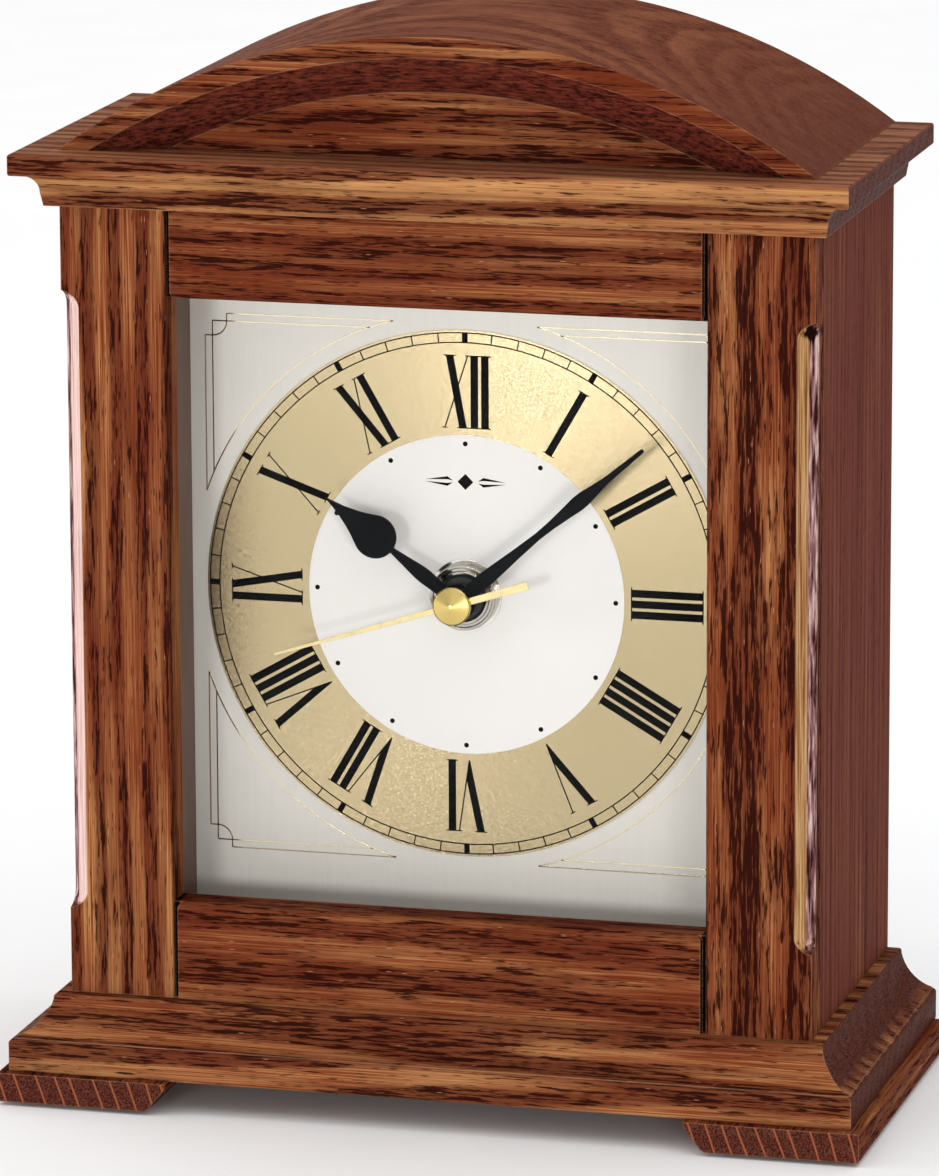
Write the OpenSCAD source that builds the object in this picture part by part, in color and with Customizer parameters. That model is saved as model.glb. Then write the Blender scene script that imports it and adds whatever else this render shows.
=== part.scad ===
// Mantel clock: a moulded wooden case with an arched hood, a square window with
// a round chapter ring behind glass, and a quartz movement driving three hands.
// The origin is the middle of the footprint, on the surface that the clock
// stands on. +Z is up and the dial faces -Y. Millimetres.
// Depths are measured back from the front face of the case.

/* [Case] */
// Width over the two stiles
case_w = 140; // [139:0.5:142]
// Height of the case between the base board and the cornice
case_h = 147.5; // [147:0.5:149]
// Depth from the front face to the back edge
case_d = 66.8; // [66:0.2:70]
// Thickness of the front frame
frame_t = 7; // [6.8:0.1:7.2]
// Thickness of the side panels
side_t = 8; // [7.5:0.1:8.5]
// Width of the window between the stiles
window_w = 100.6; // [100:0.2:101]
// Height of the rail under the window
rail_low_h = 18.2; // [17.5:0.1:19]
// Height of the rail over the window
rail_top_h = 16.5; // [16:0.1:17.5]
// Width of the groove between a rail and a stile
groove_w = 0.9; // [0.7:0.1:1.2]
// Thickness of the back panel
back_t = 3; // [2.5:0.1:3.5]

/* [Mouldings] */
// How far the cornice reaches past the case
cornice_over = 7.4; // [7.2:0.1:7.8]
// Thickness of the cornice board
cornice_t = 10; // [9.8:0.1:10.5]
// How far the base board reaches past the case
base_over = 9.4; // [9.2:0.1:9.8]
// Thickness of the base board
base_t = 13.4; // [13.2:0.1:14]
// How far the foot runners reach past the case
foot_over = 11.3; // [11:0.1:11.8]
// Height of the foot runners
foot_h = 5.4; // [5:0.1:6]
// Thickness of the felt pads under the runners
pad_t = 0.8; // [0.6:0.1:1]
// Half the width of the hood where it meets the cornice
hood_half = 70.2; // [69.5:0.1:70.6]
// Rise of the hood over the cornice
hood_rise = 22.8; // [22.4:0.1:23.4]
// Depth of the tapered recess in the front of the hood
recess_d = 5; // [4.6:0.1:5.4]

/* [Dial] */
// Height of the dial centre over the base board
dial_rise = 74.1; // [73.6:0.1:74.6]
// Depth of the dial face behind the front of the case
dial_depth = 21.8; // [21.6:0.1:22]
// Outer radius of the chapter ring
ring_r = 49.4; // [49:0.1:49.8]
// Radius of the white centre of the dial
centre_r = 29.9; // [29:0.1:30.5]
// Thickness of the glass
glass_t = 2; // [1.8:0.1:2]

/* [Hands] */
// Length of the hour hand from the centre to its tip
hour_l = 31; // [30.5:0.1:31.5]
// Length of the minute hand from the centre to its tip
minute_l = 46.5; // [45.5:0.1:46.8]
// Length of the second hand from the centre to its tip
second_l = 35.6; // [35:0.1:36.5]
// Clockwise angle of the hour hand from twelve
hour_angle = 306.3; // [0:0.1:360]
// Clockwise angle of the minute hand from twelve
minute_angle = 49.3; // [0:0.1:360]
// Clockwise angle of the second hand from twelve
second_angle = 252.2; // [0:0.1:360]

/* [Movement] */
// Width and height of the movement case
move_w = 56; // [56:0.1:56.4]
// Thickness of the movement case
move_t = 16; // [16:0.1:16.2]
// Radius of the threaded bushing that the nut clamps
bushing_r = 4; // [3.9:0.05:4.05]
// Length of the battery without its positive nub
cell_l = 49.2; // [49:0.1:49.4]
// Radius of the battery
cell_r = 7.1; // [7:0.05:7.15]

/* [Hidden] */
$fn = 96;

// Heights and the depth of the whole object
foot_top = pad_t + foot_h;
base_top = foot_top + base_t;
case_top = base_top + case_h;
cornice_top = case_top + cornice_t;
front_y = (foot_over - case_d) / 2;
dial_z = base_top + dial_rise;
half_w = case_w / 2;
window_half = window_w / 2;
inner_half = half_w - side_t;
cut = 0.5;

// Colours
oak = "#8a4a22";
oak_end = "#5e3022";
steel = "#b9bcc0";
brass = "#c9a54c";
gold = "#dcc27c";
black = "#16171a";
white_plastic = "#e9e6dc";

// Fastening
screw_r = 1.6;
screw_head_r = 3.2;
screw_fit = 0.05;

// Depths of the dial stack and of the layers of wheels
glass_d = frame_t;
liner_d = glass_d + glass_t;
plate_t = 1;
sheet_t = 0.15;
plate_back = dial_depth + plate_t;
gasket_t = 0.8;
move_front = plate_back + gasket_t;
move_back = move_front + move_t;
move_wall = 1.5;
room_front = move_front + move_wall;
cover_d = move_back - move_wall;
hour_hand_d = dial_depth - 6.4;
minute_hand_d = dial_depth - 8;
second_hand_d = dial_depth - 9.7;
layer_hour = room_front + 0.5;
layer_motion = layer_hour + 2.2;
layer_centre = layer_motion + 2.1;
layer_third = layer_centre + 1.8;
plate_d = layer_third + 1.2;
bearing_t = 0.8;
layer_second = plate_d + bearing_t + 0.5;
layer_fifth = layer_second + 1.4;

// Radii of the nested pipes at the dial centre, with running clearance
run = 0.06;
arbor_r = 0.75;
minute_bore = arbor_r + run;
minute_pipe_r = 1.7;
hour_bore = minute_pipe_r + run;
hour_pipe_r = 2.6;
bushing_bore = hour_pipe_r + run;

// Wheels: tooth modules, counts and places relative to the dial centre
centre_m = 0.34;
centre_n = 64;
third_m = 0.36;
third_n = 60;
second_m = 0.3;
second_n = 50;
fifth_n = 48;
leaf_n = 8;
fifth_leaf_n = 10;
motion_m = 0.5;
minute_leaf_n = 12;
intermediate_n = 36;
setting_n = 18;
hour_m = 0.48;
intermediate_leaf_n = 10;
hour_n = 40;
third_angle = 180;
intermediate_angle = 90;
setting_angle = 150;
fifth_angle = -10;
rotor_angle = -25;
pin_r = 0.5;
function polar(r, a) = [r * cos(a), r * sin(a)];
function mesh(m, n1, n2) = m * (n1 + n2) / 2;
third_at = polar(mesh(centre_m, centre_n, leaf_n), third_angle);
intermediate_at = polar(mesh(motion_m, minute_leaf_n, intermediate_n), intermediate_angle);
setting_at = intermediate_at + polar(mesh(motion_m, setting_n, intermediate_n), setting_angle);
fifth_at = polar(mesh(second_m, second_n, fifth_leaf_n), fifth_angle);
rotor_at = fifth_at + polar(mesh(second_m, fifth_n, leaf_n), rotor_angle);

// Battery bay along the bottom of the movement
cell_z = -19.9;
cell_d = move_front + 1.2 + cell_r + 0.3;
bay_top = cell_z + cell_r + 0.4;
bay_wall = 0.8;
bay_half = move_w / 2 - move_wall;
move_half = move_w / 2;

// Coil above the wheels
coil_x = 12;
coil_z = 20;
coil_half = 8;
coil_r = 3.7;
core_d = layer_second - 0.9;

// Draws an outline given as (x, z) between two depths
module between(d0, d1) {
    translate([0, front_y + d1, 0]) rotate([90, 0, 0]) linear_extrude(d1 - d0) children();
}

// Rectangular block between two x, two depths and two z
module block(x0, x1, d0, d1, z0, z1) {
    translate([x0, front_y + d0, z0]) cube([x1 - x0, d1 - d0, z1 - z0]);
}

// Round rod along the depth
module rod(x, z, d0, d1, r) {
    translate([x, front_y + d0, z]) rotate([-90, 0, 0]) cylinder(r = r, h = d1 - d0);
}

// Mirrors its children for the left side
module on_side(side) {
    mirror([side < 0 ? 1 : 0, 0, 0]) children();
}

// Waste outside a rounded corner at (0, 0), with the solid towards -x and -y
module corner_waste(r) {
    difference() {
        translate([-r, -r]) square(r + cut);
        translate([-r, -r]) circle(r, $fn = 48);
        translate([-r - cut, -r - cut]) square([cut, r + 2 * cut]);
        translate([-r - cut, -r - cut]) square([r + 2 * cut, cut]);
    }
}

// Stile: a square bar whose outer front corner has a stop chamfer that runs
// out in a hollow at both ends
chamfer = 3.3;
chamfer_low = base_top + 19.2;
chamfer_top = case_top - 19;
runout_r = 3.4;
module chamfer_cutter() {
    depth = chamfer / sqrt(2);
    translate([half_w, front_y, 0]) rotate([0, 0, -45]) {
        translate([-depth, -4, chamfer_low]) cube([4, 8, chamfer_top - chamfer_low]);
        for (z = [chamfer_low, chamfer_top])
            translate([runout_r - depth, 0, z]) rotate([90, 0, 0])
                cylinder(r = runout_r, h = 8, center = true);
    }
}
module stile() {
    difference() {
        block(window_half, half_w, 0, frame_t, base_top, case_top);
        chamfer_cutter();
        translate([window_half, front_y, 0]) linear_extrude(case_top + 1)
            rotate([0, 0, 180]) corner_waste(0.5);
    }
}
module stile_left() { color(oak) on_side(-1) stile(); }
module stile_right() { color(oak) on_side(1) stile(); }

// Rail: reaches the stiles behind, and stops short of them in front, which
// leaves the groove. The edge along the window is rounded. Drawn as the lower
// rail, from z = 0 up.
groove_d = 1.3;
rail_ease = 1.4;
module rail(h) {
    face_half = window_half - groove_w;
    difference() {
        union() {
            translate([-window_half, front_y + groove_d, 0]) cube([window_w, frame_t - groove_d, h]);
            translate([0, front_y + groove_d, 0]) rotate([90, 0, 0]) linear_extrude(groove_d)
                difference() {
                    translate([-face_half, 0]) square([2 * face_half, h]);
                    for (side = [0, 1]) mirror([side, 0]) translate([face_half, h]) corner_waste(1.2);
                }
        }
        translate([-half_w, front_y, h]) rotate([90, 0, 90]) linear_extrude(case_w)
            mirror([1, 0]) corner_waste(rail_ease);
    }
}
module rail_lower() { color(oak) translate([0, 0, base_top]) rail(rail_low_h); }
module rail_upper() { color(oak) translate([0, 0, case_top]) mirror([0, 0, 1]) rail(rail_top_h); }

// Side panel, standing behind the stile, with pilot holes for the screws
screw_x = half_w - side_t / 2;
screw_depths = [20, 52];
module side_panel() {
    difference() {
        block(inner_half, half_w, frame_t, case_d, base_top, case_top);
        for (d = screw_depths) {
            translate([screw_x, front_y + d, base_top - 1]) cylinder(r = screw_r + screw_fit, h = 20);
            translate([screw_x, front_y + d, case_top - 19]) cylinder(r = screw_r + screw_fit, h = 20);
        }
    }
}
module side_panel_left() { color(oak) on_side(-1) side_panel(); }
module side_panel_right() { color(oak) on_side(1) side_panel(); }

// Countersunk wood screw, its head's top at z = 0 and its point down
module wood_screw(l) {
    rotate_extrude() polygon([[0, 0], [screw_head_r, 0], [screw_r, -2], [screw_r, 3 - l], [0, -l]]);
}
module screw_hole(l) {
    translate([0, 0, -l]) cylinder(r = screw_r + screw_fit, h = l + 1);
    rotate_extrude() polygon([[0, 0.6], [screw_head_r + 0.1, 0.6], [screw_head_r + 0.1, -0.1],
        [screw_r + 0.1, -2.1], [0, -2.1]]);
}
module at_screws() {
    for (side = [-1, 1], d = screw_depths) translate([side * screw_x, front_y + d, 0]) children();
}

// Board moulded along its front and both ends, with a flat back. The child
// draws the waste at its right-hand edge, measured from the case line, with
// the board's underside at y = 0.
module moulded_board(reach, t) {
    intersection() {
        translate([0, front_y + case_d, 0]) rotate([90, 0, 0]) linear_extrude(case_d + reach)
            difference() {
                translate([-half_w - reach, 0]) square([case_w + 2 * reach, t]);
                for (side = [0, 1]) mirror([side, 0]) translate([half_w, 0]) children();
            }
        translate([-half_w - reach, 0, 0]) rotate([90, 0, 90]) linear_extrude(case_w + 2 * reach)
            difference() {
                translate([front_y - reach, 0]) square([case_d + reach, t]);
                translate([front_y, 0]) mirror([1, 0]) children();
            }
    }
}

// Cornice: a square-edged top over a hollow and a narrow lip
module cornice_waste() {
    slab_low = cornice_t - 4;
    cove_r = 3.4;
    cove_x = cornice_over - 1.2;
    intersection() {
        translate([cove_x, slab_low - cove_r]) circle(cove_r);
        translate([0, slab_low - cove_r]) square(2 * cove_r);
    }
    translate([cove_x, slab_low - cove_r]) square([4, cove_r]);
    polygon([[cove_x - cove_r, slab_low - cove_r], [2.3, 0], [2.3, -1], [12, -1], [12, slab_low - cove_r]]);
    translate([cornice_over, cornice_t]) corner_waste(0.5);
    translate([cornice_over, slab_low]) mirror([0, 1]) corner_waste(0.5);
}
module cornice() {
    color(oak) difference() {
        translate([0, 0, case_top]) moulded_board(cornice_over, cornice_t) cornice_waste();
        translate([0, 0, cornice_top]) at_screws() screw_hole(cornice_t + 1);
    }
}
module cornice_screws() {
    color(brass) translate([0, 0, cornice_top - 0.1]) at_screws() wood_screw(25);
}

// Base board: a flat ledge, a large hollow and a square band
module base_waste() {
    band_h = 6;
    top_over = 2.7;
    step_h = 0.9;
    drop = base_t - band_h - step_h;
    run_out = base_over - top_over;
    cove_r = 8.5;
    // Centre of the hollow, at one radius from both of its ends
    half_chord = norm([run_out, drop]) / 2;
    rise = sqrt(cove_r * cove_r - half_chord * half_chord);
    mid = [top_over + run_out / 2, band_h + drop / 2];
    centre = mid + rise * [drop, run_out] / norm([run_out, drop]);
    intersection() {
        translate(centre) circle(cove_r);
        translate([0, band_h]) square([12, drop]);
    }
    translate([base_over, band_h]) square([4, drop]);
    polygon([[top_over, base_t - step_h], [top_over, base_t + 1], [14, base_t + 1], [14, band_h],
        [base_over, band_h], [base_over, base_t - step_h]]);
    translate([top_over, base_t]) corner_waste(0.6);
    translate([base_over, band_h]) corner_waste(0.7);
    translate([base_over, 0]) mirror([0, 1]) corner_waste(0.4);
}
module base_board() {
    color(oak) difference() {
        translate([0, 0, foot_top]) moulded_board(base_over, base_t) base_waste();
        translate([0, 0, foot_top]) mirror([0, 0, 1]) at_screws() screw_hole(base_t + 1);
    }
}
module base_screws() {
    color(brass) translate([0, 0, foot_top + 0.1]) mirror([0, 0, 1]) at_screws() wood_screw(29);
}

// Foot runner: a bar from front to back, its inner end face bevelled
foot_inner = 48.7;
module foot_runner() {
    outer = half_w + foot_over;
    translate([0, 0, pad_t]) between(-foot_over, case_d) difference() {
        polygon([[foot_inner, foot_h], [foot_inner + 0.2, foot_h - 0.9], [foot_inner + 3.3, 0.5],
            [foot_inner + 4.1, 0], [outer, 0], [outer, foot_h]]);
        translate([outer, foot_h]) corner_waste(0.4);
        translate([outer, 0]) mirror([0, 1]) corner_waste(0.4);
    }
}
module foot_runner_left() { color(oak_end) on_side(-1) foot_runner(); }
module foot_runner_right() { color(oak_end) on_side(1) foot_runner(); }

// Felt pads under the ends of the runners
pad_r = 6;
module foot_pads() {
    color(black) for (side = [-1, 1], d = [0, case_d - 12])
        translate([side * (half_w - 2), front_y + d, 0]) cylinder(r = pad_r, h = pad_t);
}

// Hood: a barrel-shaped block with a tapered recess in its front
hood_r = (hood_half * hood_half + hood_rise * hood_rise) / (2 * hood_rise);
recess_z = cornice_top - 100.5;
recess_front_r = 119.4;
recess_back_r = 112.8;
tympanum_t = 3;
module above_cornice(w) {
    translate([-w / 2, front_y - 2, cornice_top]) cube([w, case_d + 4, 60]);
}
module hood() {
    color(oak) difference() {
        intersection() {
            rod(0, cornice_top + hood_rise - hood_r, 0, case_d, hood_r, $fn = 256);
            above_cornice(case_w + 20);
        }
        translate([0, front_y, recess_z]) rotate([-90, 0, 0]) rotate_extrude($fn = 256)
            polygon([[0, -1], [recess_front_r, -1], [recess_front_r, 0.5],
                [recess_back_r + 3, 2.4], [recess_back_r, recess_d],
                [recess_back_r, recess_d + tympanum_t + 0.1], [0, recess_d + tympanum_t + 0.1]]);
    }
}
module tympanum_panel() {
    color(oak) intersection() {
        rod(0, recess_z, recess_d, recess_d + tympanum_t, recess_back_r - 0.05, $fn = 256);
        above_cornice(case_w);
    }
}

// Blocks glued into the back corners, which take the screws of the back panel
block_l = 14;
block_t = 10;
back_d = case_d - 2 - back_t;
block_x = inner_half - block_t / 2;
block_z = [base_top + block_l / 2 + 1, case_top - block_l / 2 - 1];
module at_back_screws() {
    for (side = [-1, 1], z = block_z) translate([side * block_x, 0, z]) children();
}
module corner_blocks() {
    color(oak) difference() {
        for (side = [-1, 1], z = block_z)
            translate([side * block_x, front_y + back_d - block_t / 2, z])
                cube([block_t, block_t, block_l], center = true);
        at_back_screws() rod(0, 0, back_d - 9, back_d + 1, screw_r + screw_fit);
    }
}

// Back panel, set in between the side panels, with the opening for the hand
access_w = 76;
access_h = 80;
access_r = 6;
module access_outline() {
    for (x = [-1, 1], z = [-1, 1])
        translate([x * (access_w / 2 - access_r), z * (access_h / 2 - access_r)]) circle(access_r);
    square([access_w, access_h - 2 * access_r], center = true);
    square([access_w - 2 * access_r, access_h], center = true);
}
module back_panel() {
    color(black) difference() {
        block(0.2 - inner_half, inner_half - 0.2, back_d, back_d + back_t, base_top + 0.2, case_top - 0.2);
        translate([0, 0, dial_z]) between(back_d - 1, back_d + back_t + 1) access_outline();
        at_back_screws() rod(0, 0, back_d - 1, back_d + back_t + 1, screw_r + 0.1);
    }
}
module back_screws() {
    color(steel) at_back_screws() translate([0, front_y + back_d + back_t, 0]) rotate([-90, 0, 0])
        rotate_extrude() difference() {
            polygon([[0, 1.6], [1.6, 1.4], [2.7, 0.8], [3, 0], [screw_r, 0], [screw_r, -back_t - 6],
                [0, -back_t - 8]]);
            translate([-1, 1]) square([1.4, 2]);
        }
}

// Glass and the four strips of the liner that hold it against the front frame
// and carry the dial
liner_margin = 2;
liner_half = window_half + liner_margin;
liner_low = base_top + 12;
liner_high = case_top - 12;
module glass() {
    color([0.9, 0.95, 0.95, 0.3])
        block(1 - inner_half, inner_half - 1, glass_d, glass_d + glass_t, base_top + 2, case_top - 2);
}
module liner_side() {
    difference() {
        block(liner_half, inner_half, liner_d, dial_depth, base_top, case_top);
        at_dial_screws() rod(0, 0, dial_depth - 7, dial_depth + 1, 0.9 + screw_fit);
    }
}
module liner_left() { color(black) on_side(-1) liner_side(); }
module liner_right() { color(black) on_side(1) liner_side(); }
module liner_top() { color(black) block(-liner_half, liner_half, liner_d, dial_depth, liner_high, case_top); }
module liner_bottom() { color(black) block(-liner_half, liner_half, liner_d, dial_depth, base_top, liner_low); }

// Dial: a plate screwed to the back of the liner, with the chapter ring and
// the white centre laid on its face
plate_half = inner_half - 2;
dial_screw_rise = 52;
module at_dial_screws() {
    for (side = [-1, 1], up = [-1, 1])
        translate([side * (plate_half - 2.8), 0, dial_z + up * dial_screw_rise]) children();
}
module dial_plate() {
    color(steel) difference() {
        block(-plate_half, plate_half, dial_depth, plate_back, base_top + 6, case_top - 6);
        rod(0, dial_z, dial_depth - 1, plate_back + 1, bushing_r + 0.1);
        at_dial_screws() rod(0, 0, dial_depth - 1, plate_back + 1, 1);
    }
}
module chapter_ring() {
    color(gold) difference() {
        rod(0, dial_z, dial_depth - sheet_t, dial_depth, ring_r);
        rod(0, dial_z, dial_depth - 1, dial_depth + 1, centre_r + 0.02);
    }
}
module dial_centre() {
    color("white") difference() {
        rod(0, dial_z, dial_depth - sheet_t, dial_depth, centre_r);
        rod(0, dial_z, dial_depth - 1, dial_depth + 1, bushing_r + 0.1);
    }
}
module dial_screws() {
    color(steel) at_dial_screws() translate([0, front_y + plate_back, 0]) rotate([-90, 0, 0])
        rotate_extrude() polygon([[0, 1.1], [1.2, 1], [1.8, 0.6], [1.9, 0], [0.9, 0], [0.9, -6], [0, -7.2]]);
}

// Washer and round nut on the bushing, and the rubber gasket behind the plate
washer_t = 0.4;
nut_t = 2.2;
nut_front = dial_depth - sheet_t - washer_t - nut_t;
module dial_washer() {
    color(steel) difference() {
        rod(0, dial_z, nut_front + nut_t, dial_depth - sheet_t, 6.8);
        rod(0, dial_z, nut_front, dial_depth + 1, bushing_r + 0.1);
    }
}
module dial_nut() {
    color(steel) translate([0, front_y + nut_front, dial_z]) rotate([-90, 0, 0]) rotate_extrude()
        polygon([[bushing_r + 0.05, 0.3], [bushing_r + 0.5, 0], [4.9, 0], [5.05, 0.5], [5.5, 0.5],
            [5.65, 0.15], [6, 0.15], [6.2, 0.5], [6.2, nut_t], [bushing_r + 0.05, nut_t]]);
}
module gasket() {
    color(black) difference() {
        rod(0, dial_z, plate_back, move_front, 9);
        rod(0, dial_z, plate_back - 1, move_front + 1, bushing_r + 0.2);
    }
}

// Places its children, drawn with twelve o'clock up, at a clockwise angle
module hand_at(angle) {
    translate([0, 0, dial_z]) rotate([0, angle, 0]) children();
}

// Both sides of a hand's outline, from points given as [length, half width]
module blade(points) {
    polygon(concat([for (p = points) [p[1], p[0]]],
        [for (i = [len(points) - 1 : -1 : 0]) [-points[i][1], points[i][0]]]));
}
hand_t = 0.4;
module hour_hand() {
    bulb_r = 4.05;
    bulb_l = hour_l - 11.7;
    color(black) hand_at(hour_angle) between(hour_hand_d, hour_hand_d + hand_t) difference() {
        union() {
            blade([[0, 1.1], [4.5, 1.25], [7.6, 1.42], [9, 1.35], [12, 0.95], [15, 0.55], [bulb_l - 2, 0.55]]);
            translate([0, bulb_l]) circle(bulb_r);
            blade([[bulb_l, 0.5], [bulb_l + 1, 3.9], [bulb_l + 2.4, 3.3], [bulb_l + 3.9, 2.5],
                [bulb_l + 5.6, 1.75], [bulb_l + 8, 0.9], [bulb_l + 10, 0.4], [hour_l, 0.05]]);
            circle(3.4);
        }
        circle(hour_pipe_r);
    }
}
module minute_hand() {
    color(black) hand_at(minute_angle) between(minute_hand_d, minute_hand_d + hand_t) difference() {
        union() {
            blade([[0, 1.2], [4, 1.35], [7.5, 1.42], [10, 1.3], [15, 0.95], [20.5, 0.68], [24, 0.8],
                [28, 1.15], [30.4, 1.4], [32.2, 1.36], [35, 0.95], [38, 0.62], [minute_l - 0.3, 0.4],
                [minute_l, 0.25]]);
            circle(3.1);
        }
        circle(minute_pipe_r);
    }
}
module second_hand() {
    color(gold) hand_at(second_angle) between(second_hand_d, second_hand_d + 0.3) difference() {
        union() {
            blade([[-14.9, 0.78], [-3, 0.62], [0, 0.6], [10, 0.5], [25, 0.34], [second_l, 0.2]]);
            circle(2.4);
        }
        circle(arbor_r);
    }
}
cap_t = 1.8;
module second_cap() {
    color(gold) translate([0, front_y + second_hand_d, dial_z]) rotate([90, 0, 0]) rotate_extrude()
        polygon([[0, 1], [arbor_r, 1], [arbor_r, 0], [3.3, 0], [3.55, 0.25], [3.55, 0.6], [3.3, 0.85],
            [0.5, cap_t - 0.06], [0, cap_t]]);
}

// Tooth outline: n trapezoid teeth narrower than the gaps, the first at angle a
module gear_outline(m, n, a) {
    pitch_r = m * n / 2;
    tip_r = pitch_r + 0.85 * m;
    root_r = pitch_r - 1.15 * m;
    step = 360 / n;
    polygon([for (k = [0 : n - 1], p = [[root_r, -0.27], [pitch_r, -0.19], [tip_r, -0.09],
            [tip_r, 0.09], [pitch_r, 0.19], [root_r, 0.27]])
        polar(p[0], a + (k + p[1]) * step)]);
}
module gear(at, m, n, a, d0, d1) {
    translate([at[0], 0, dial_z + at[1]]) between(d0, d1) gear_outline(m, n, a);
}
module wheel_rod(at, d0, d1, r) {
    rod(at[0], dial_z + at[1], d0, d1, r);
}

// First tooth angle that puts a gap of n teeth opposite direction a
function facing(a, n) = a + 180 + 180 / n;

wheel_t = 0.8;
centre_at = [0, 0];

// Hour wheel, whose pipe carries the hour hand through the bushing
module hour_wheel() {
    color(white_plastic) difference() {
        union() {
            gear(centre_at, hour_m, hour_n, intermediate_angle, layer_hour, layer_hour + 1.2);
            wheel_rod(centre_at, hour_hand_d, layer_hour + 0.2, hour_pipe_r);
        }
        wheel_rod(centre_at, hour_hand_d - 1, layer_hour + 2, hour_bore);
    }
}

// Minute pipe with the pinion that drives the motion work, and the seat on
// which the centre wheel turns by friction
module minute_pipe() {
    color(brass) difference() {
        union() {
            wheel_rod(centre_at, minute_hand_d, layer_centre + wheel_t + 0.2, minute_pipe_r);
            gear(centre_at, motion_m, minute_leaf_n, facing(intermediate_angle + 180, minute_leaf_n),
                layer_motion, layer_motion + 1.2);
            wheel_rod(centre_at, layer_motion + 1.1, layer_centre - 0.1, 2.2);
        }
        wheel_rod(centre_at, minute_hand_d - 1, layer_centre + 3, minute_bore);
    }
}
module centre_wheel() {
    color(white_plastic) difference() {
        gear(centre_at, centre_m, centre_n, third_angle, layer_centre, layer_centre + wheel_t);
        wheel_rod(centre_at, layer_centre - 1, layer_centre + 2, minute_pipe_r + run);
    }
}

// Intermediate wheel, between the minute pipe, the hour wheel and the setter
module intermediate_wheel() {
    color(white_plastic) {
        gear(intermediate_at, motion_m, intermediate_n, intermediate_angle + 180, layer_motion, layer_motion + 1.2);
        gear(intermediate_at, hour_m, intermediate_leaf_n, facing(intermediate_angle, intermediate_leaf_n),
            layer_hour, layer_motion + 0.1);
        wheel_rod(intermediate_at, room_front - 0.7, plate_d + 0.7, pin_r);
    }
}

// Second wheel, on the arbor that carries the second hand
module second_wheel() {
    color(white_plastic) {
        gear(centre_at, second_m, second_n, fifth_angle, layer_second, layer_second + wheel_t);
        gear(centre_at, third_m, leaf_n, facing(third_angle + 180, leaf_n), layer_third - 0.2, layer_third + 1);
        wheel_rod(centre_at, second_hand_d - 1, cover_d + 0.7, arbor_r);
    }
}
module third_wheel() {
    color(white_plastic) {
        gear(third_at, third_m, third_n, third_angle + 180, layer_third, layer_third + wheel_t);
        gear(third_at, centre_m, leaf_n, facing(third_angle, leaf_n), layer_centre - 0.2, layer_third + 0.1);
        wheel_rod(third_at, room_front - 0.7, plate_d + 0.7, pin_r);
    }
}
module fifth_wheel() {
    color(white_plastic) {
        gear(fifth_at, second_m, fifth_n, rotor_angle, layer_fifth, layer_fifth + wheel_t);
        gear(fifth_at, second_m, fifth_leaf_n, facing(fifth_angle, fifth_leaf_n),
            layer_second - 0.2, layer_fifth + 0.1);
        wheel_rod(fifth_at, plate_d + 0.1, cover_d + 0.7, pin_r);
    }
}

// Rotor: a magnet disc with a pinion
magnet_r = 2.8;
module rotor() {
    color(steel) {
        wheel_rod(rotor_at, layer_second - 0.3, layer_second + 1, magnet_r);
        gear(rotor_at, second_m, leaf_n, facing(rotor_angle, leaf_n), layer_second + 0.9, layer_fifth + 1.2);
        wheel_rod(rotor_at, plate_d + 0.1, cover_d + 0.7, pin_r);
    }
}

// Setting wheel, with the knob that stands behind the cover
module setting_knob() {
    grips = 24;
    color(white_plastic) {
        gear(setting_at, motion_m, setting_n, facing(setting_angle, setting_n), layer_motion, layer_motion + 1.2);
        wheel_rod(setting_at, room_front - 0.7, layer_motion + 0.1, 0.8);
        wheel_rod(setting_at, layer_motion, move_back + 0.6, 1.4);
        translate([setting_at[0], 0, dial_z + setting_at[1]]) between(move_back + 0.5, move_back + 3.5)
            difference() {
                circle(5);
                for (k = [0 : grips - 1]) rotate(k * 360 / grips) translate([5.1, 0]) circle(0.35, $fn = 16);
            }
    }
}

// Bearing plate between the front and the back of the train, on three pillars
pillars = [[-23.5, -8.5], [-6.5, 24.6], [22.5, 10.5]];
module bearing_plate() {
    color(white_plastic) difference() {
        translate([0, 0, dial_z]) between(plate_d, plate_d + bearing_t)
            polygon([[-25.5, -10.6], [22, -10.6], [24.8, -6], [24.8, 13], [2, 14.6], [-4.6, 26.2], [-8.4, 26.2],
                [-8.4, 14], [-25.5, 2]]);
        for (at = [third_at, intermediate_at]) wheel_rod(at, plate_d - 1, plate_d + 2, pin_r + run);
        wheel_rod(centre_at, plate_d - 1, plate_d + 2, 2);
        for (at = [fifth_at, rotor_at]) wheel_rod(at, plate_d - 1, plate_d + 2, pin_r + run);
        for (at = pillars) wheel_rod(at, plate_d - 1, plate_d + 2, 0.9 + screw_fit);
    }
}

// Movement case: a tray with the threaded bushing, pivot holes, pillars and
// the battery bay, which is open to the back
module movement_case() {
    room_top = move_half - move_wall;
    color(black) difference() {
        union() {
            difference() {
                block(-move_half, move_half, move_front, cover_d, dial_z - move_half, dial_z + move_half);
                block(-bay_half, bay_half, room_front, cover_d + 1, dial_z + bay_top + bay_wall, dial_z + room_top);
                block(-bay_half, bay_half, move_front + 1.2, cover_d + 1, dial_z - move_half + 0.8, dial_z + bay_top);
            }
            wheel_rod(centre_at, nut_front - 0.6, move_front + 0.1, bushing_r);
            for (at = pillars) {
                wheel_rod(at, room_front - 0.1, plate_d, 1.6);
                wheel_rod(at, room_front, plate_d + bearing_t + 0.4, 0.9);
            }
        }
        wheel_rod(centre_at, nut_front - 2, room_front + 1, bushing_bore);
        for (at = [third_at, intermediate_at]) wheel_rod(at, room_front - 0.8, room_front + 1, pin_r + run);
        wheel_rod(setting_at, room_front - 0.8, room_front + 1, 0.8 + run);
    }
}

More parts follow.
